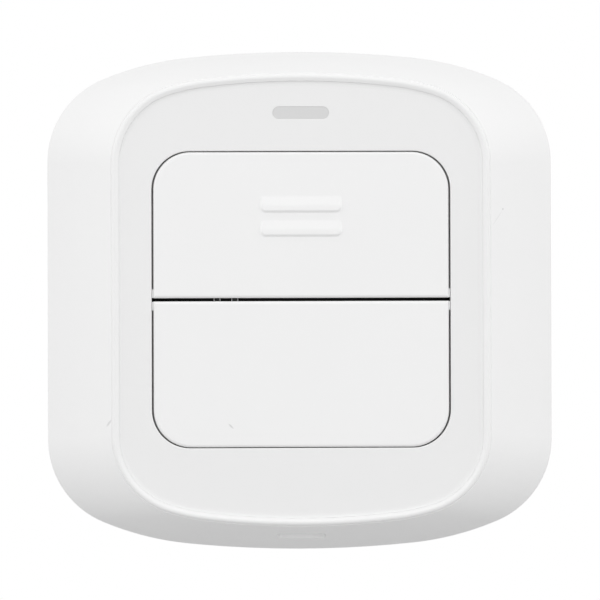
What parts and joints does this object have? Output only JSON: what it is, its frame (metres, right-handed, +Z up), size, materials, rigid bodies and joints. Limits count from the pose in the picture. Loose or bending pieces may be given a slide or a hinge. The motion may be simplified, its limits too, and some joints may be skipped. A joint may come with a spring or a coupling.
{
  "type": "smart light switch",
  "caption": "Square white wireless wall switch: sloping frame, raised rim, inset panel with a status window and stacked push buttons, on a screw-fixed wall base.",
  "frame": {"origin": "middle of the wall base's back face, which lies on the wall", "axes": "+Y into the wall, +Z up the wall, +X to the right as seen from the room; the front faces -Y"},
  "size_m": [0.071, 0.015, 0.07],
  "materials": {
    "white_pc_abs": "white PC/ABS, moulded, fine satin texture",
    "white_abs": "white ABS, moulded, satin",
    "frosted_acrylic": "frosted grey-white acrylic, moulded",
    "black_laminate": "glass-epoxy laminate with black solder mask",
    "green_laminate": "glass-epoxy laminate with green solder mask",
    "zinc_plated_steel": "zinc-plated steel",
    "nickel_plated_steel": "nickel-plated steel can",
    "tinned_bronze": "tin-plated phosphor bronze strip",
    "tinned_steel": "tin-plated steel sheet",
    "spring_steel": "stainless spring steel foil",
    "black_nylon": "black glass-filled nylon, moulded",
    "grey_nylon": "grey nylon, moulded",
    "black_epoxy": "black moulding epoxy",
    "thick_film_chip": "alumina chip with a black film and tinned ends",
    "ceramic_chip": "tan ceramic chip with tinned ends",
    "led_package": "pale epoxy over a white package"
  },
  "bodies": {
    "root": {"wall_base": "white_abs", "outer_frame": "white_pc_abs", "face_panel": "white_pc_abs", "button_carrier": "white_abs", "light_guide": "frosted_acrylic", "circuit_board": "black_laminate", "carrier_screws": "zinc_plated_steel", "board_screws": "zinc_plated_steel", "coin_cell": "nickel_plated_steel", "battery_holder": "black_nylon", "battery_positive_contact": "tinned_bronze", "battery_negative_contact": "tinned_bronze", "radio_board": "green_laminate", "radio_shield": "tinned_steel", "voltage_regulator": "black_epoxy", "crystal": "tinned_steel", "left_chip_resistor": "thick_film_chip", "right_chip_resistor": "thick_film_chip", "radio_capacitor": "ceramic_chip", "regulator_capacitor": "ceramic_chip", "battery_capacitor": "ceramic_chip", "indicator_led": "led_package", "upper_switch_body": "black_nylon", "upper_switch_dome": "spring_steel", "upper_switch_cover": "tinned_steel", "lower_switch_body": "black_nylon", "lower_switch_dome": "spring_steel", "lower_switch_cover": "tinned_steel", "pairing_switch_body": "black_nylon", "pairing_switch_dome": "spring_steel", "pairing_switch_cover": "tinned_steel"},
    "upper_button": {"upper_button": "white_pc_abs"},
    "lower_button": {"lower_button": "white_pc_abs"},
    "upper_plunger": {"upper_switch_plunger": "grey_nylon"},
    "lower_plunger": {"lower_switch_plunger": "grey_nylon"},
    "pairing_plunger": {"pairing_switch_plunger": "grey_nylon"}
  },
  "joints": [
    {"name": "upper_button_tilt", "type": "hinge", "parent": "root", "child": "upper_button", "pos_m": [0, -0.0122, 0.01651], "axis": [1, 0, 0], "range_deg": [0, 1.14], "stiffness_Nm_per_rad": 0.6},
    {"name": "upper_plunger_press", "type": "slide", "parent": "root", "child": "upper_plunger", "axis": [0, 1, 0], "range_m": [0, 0.00025]},
    {"name": "lower_button_tilt", "type": "hinge", "parent": "root", "child": "lower_button", "pos_m": [0, -0.0122, -0.01651], "axis": [-1, 0, 0], "range_deg": [0, 1.14], "stiffness_Nm_per_rad": 0.6},
    {"name": "lower_plunger_press", "type": "slide", "parent": "root", "child": "lower_plunger", "axis": [0, 1, 0], "range_m": [0, 0.00025]},
    {"name": "pairing_plunger_press", "type": "slide", "parent": "root", "child": "pairing_plunger", "axis": [0, -1, 0], "range_m": [0, 0.00025], "stiffness_N_per_m": 2400}
  ],
  "couplings": [
    {"joint": "upper_plunger_press", "follows": "upper_button_tilt", "m_per_rad": 0.01251},
    {"joint": "lower_plunger_press", "follows": "lower_button_tilt", "m_per_rad": 0.01251}
  ]
}
